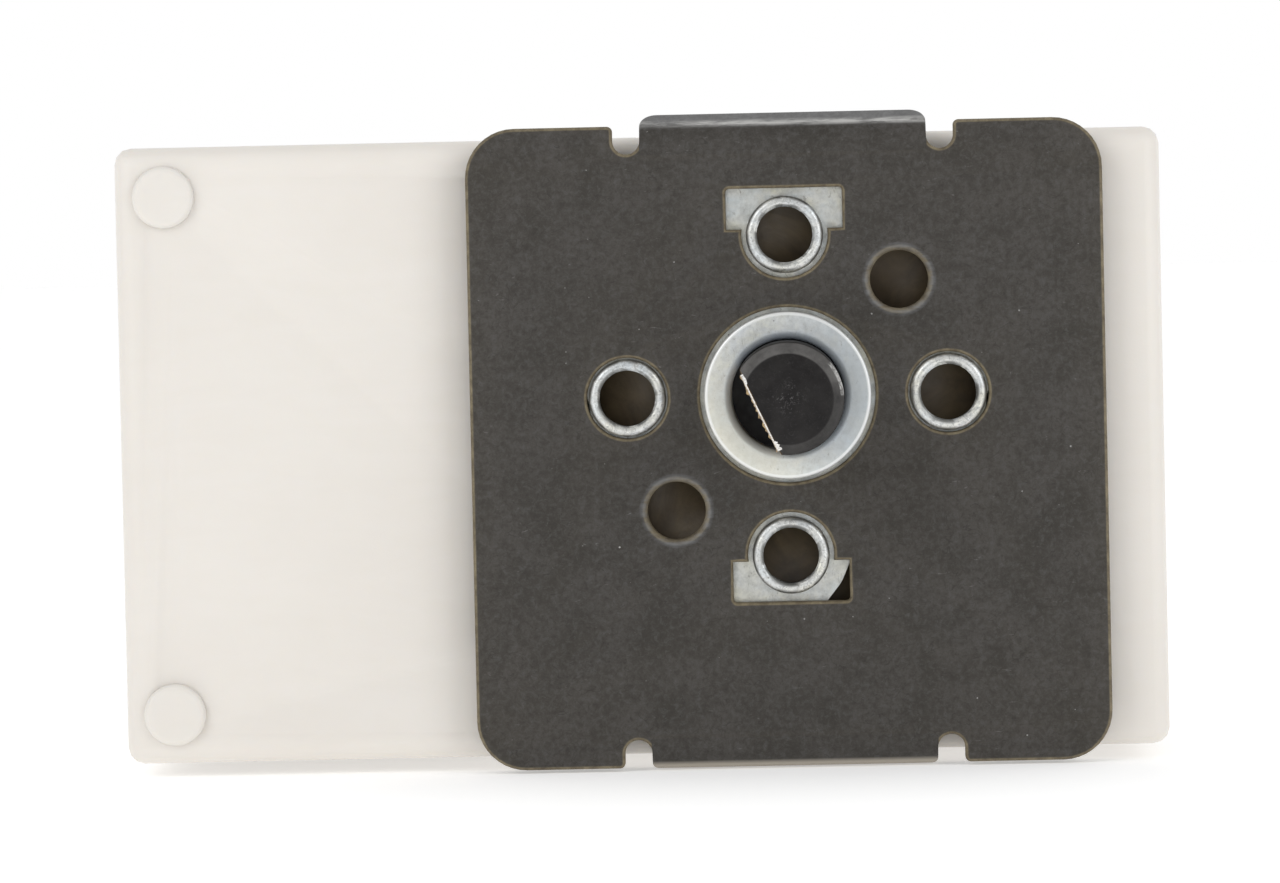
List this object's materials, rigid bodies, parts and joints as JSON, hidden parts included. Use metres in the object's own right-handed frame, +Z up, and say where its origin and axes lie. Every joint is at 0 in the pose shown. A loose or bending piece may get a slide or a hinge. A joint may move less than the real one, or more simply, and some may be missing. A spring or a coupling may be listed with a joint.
{
  "type": "rotary isolator switch",
  "caption": "Panel-mounted quarter-turn rotary isolator switch: long moulded housing, sheet-steel mounting plate with tapped bosses, D-shaft, rear blade terminals.",
  "frame": {"origin": "on the shaft axis, at the front face of the mounting plate", "axes": "-Y out of the front along the shaft, +X along the housing's length to the right seen from the front, +Z up"},
  "size_m": [0.0571, 0.0398, 0.0358],
  "materials": {
    "black_steel": "phosphated, satin",
    "zinc_plate": "zinc plated, satin",
    "cream_plastic": "satin moulded",
    "black_oxide": "black oxide, satin",
    "spring_steel": "bright",
    "bright_steel": "bright",
    "grey_plastic": "moulded",
    "brown_plastic": "moulded phenolic",
    "fibre": "vulcanised fibre sheet",
    "copper": "satin",
    "brass": "satin",
    "silver": "bright"
  },
  "bodies": {
    "housing": {"mounting_plate": "black_steel", "bush_plate": "zinc_plate", "shaft_bush": "zinc_plate", "front_cover": "cream_plastic", "rear_base": "cream_plastic", "closing_pin_upper": "cream_plastic", "closing_pin_lower": "cream_plastic", "detent_leaf_spring": "spring_steel", "return_spring_upper": "spring_steel", "return_spring_lower": "spring_steel", "plate_rivet_left": "bright_steel", "plate_rivet_right": "bright_steel", "case_screw_upper": "bright_steel", "case_screw_lower": "bright_steel", "insulating_sheet": "fibre", "terminal_1a": "brass", "terminal_1b": "brass", "terminal_2a": "brass", "terminal_2b": "brass", "fixed_contact_1a": "silver", "fixed_contact_1b": "silver", "fixed_contact_2a": "silver", "fixed_contact_2b": "silver"},
    "rotor": {"shaft": "black_oxide", "cam_drum": "grey_plastic", "thrust_washer": "spring_steel", "retaining_clip": "spring_steel"},
    "carrier": {"contact_carrier": "brown_plastic", "contact_bridge_1": "copper", "contact_bridge_2": "copper", "moving_contact_1a": "silver", "moving_contact_1b": "silver", "moving_contact_2a": "silver", "moving_contact_2b": "silver", "contact_spring_1": "spring_steel", "contact_spring_2": "spring_steel"}
  },
  "joints": [
    {"name": "rotor_turn", "type": "hinge", "parent": "housing", "child": "rotor", "pos_m": [0, 0, 0], "axis": [0, 1, 0], "range_deg": [0, 90], "deforming": ["detent_leaf_spring"]},
    {"name": "carrier_slide", "type": "slide", "parent": "housing", "child": "carrier", "axis": [-1, 0, 0], "range_m": [0, 0.003], "deforming": ["return_spring_upper", "return_spring_lower"]}
  ],
  "couplings": [
    {"joint": "rotor_turn", "follows": "carrier_slide", "rad_per_m": 523.6}
  ]
}
